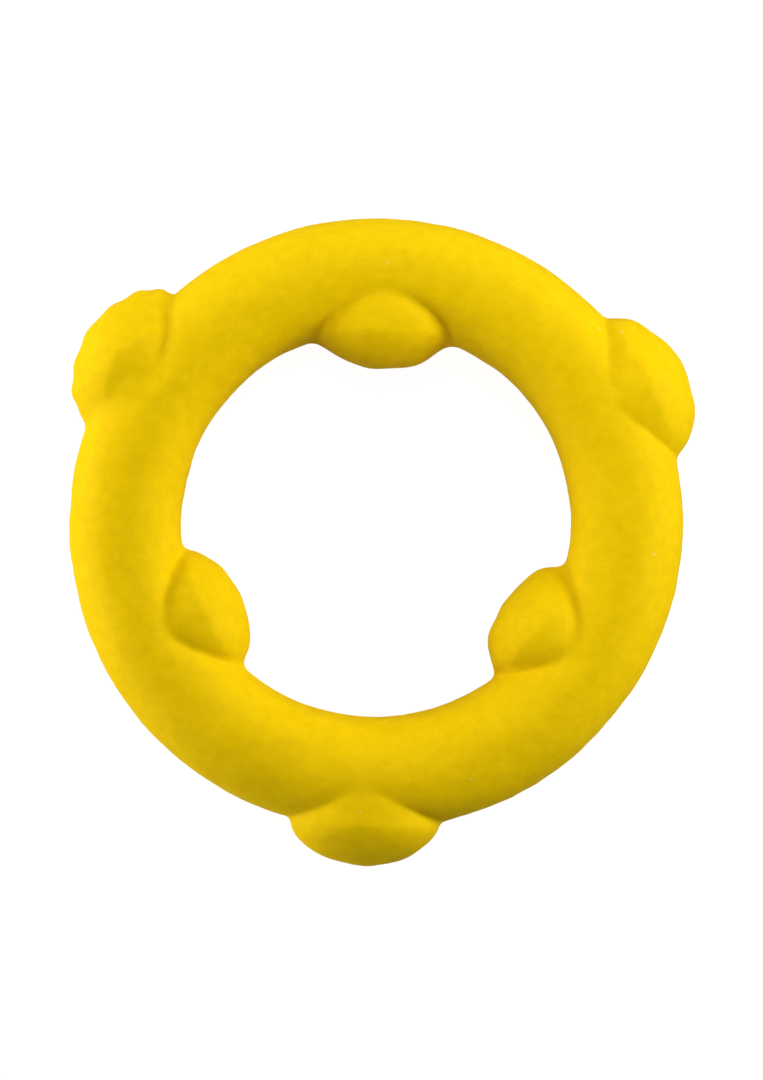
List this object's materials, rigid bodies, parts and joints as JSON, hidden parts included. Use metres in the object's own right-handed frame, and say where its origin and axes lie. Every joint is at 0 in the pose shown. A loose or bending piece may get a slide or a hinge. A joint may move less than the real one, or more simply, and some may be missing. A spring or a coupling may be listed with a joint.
{
  "type": "nubbed elastomer ring",
  "caption": "Soft round-section ring with smooth domed nubs that alternate between its inner and outer rims, for stretching over a round object or holding in the hand.",
  "frame": {"origin": "centre of the ring, on its axis and midway between its two faces", "axes": "+Z along the ring's axis, up when it lies flat; +Y towards the inner nub at the rear, and the outer nub at the front points along -Y; +X to the right"},
  "size_m": [0.0613, 0.0638, 0.0108],
  "materials": {
    "elastomer": "matte"
  },
  "bodies": {
    "root": {"ring_body": "elastomer", "inner_nub_right": "elastomer", "inner_nub_rear": "elastomer", "inner_nub_left": "elastomer", "outer_nub_right": "elastomer", "outer_nub_left": "elastomer", "outer_nub_front": "elastomer"}
  },
  "joints": []
}
